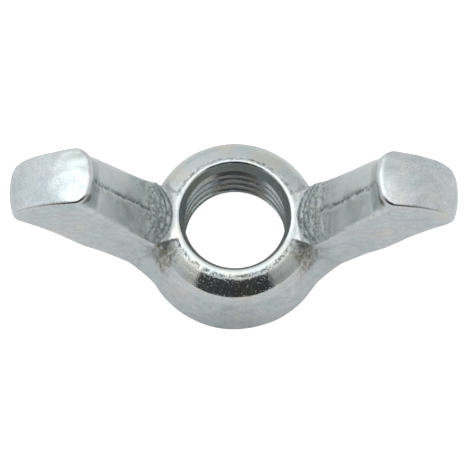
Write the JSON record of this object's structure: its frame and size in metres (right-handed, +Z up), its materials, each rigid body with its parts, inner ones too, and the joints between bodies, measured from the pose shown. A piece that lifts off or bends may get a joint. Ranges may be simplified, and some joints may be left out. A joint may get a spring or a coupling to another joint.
{
  "type": "wing nut",
  "caption": "One-piece forged wing nut: tapered round boss with a right-hand M10 thread and two flat wings that rise and lean outward.",
  "frame": {"origin": "centre of the bearing face, on the thread axis", "axes": "+Z up the thread axis from the bearing face towards the wing tips, +X along the wings, +Y across them"},
  "size_m": [0.037, 0.0162, 0.0187],
  "materials": {
    "zinc_plated_steel": "satin bright zinc plate with a clear, faintly blue passivation over forged steel"
  },
  "bodies": {
    "root": {"wing_nut_body": "zinc_plated_steel"}
  },
  "joints": []
}
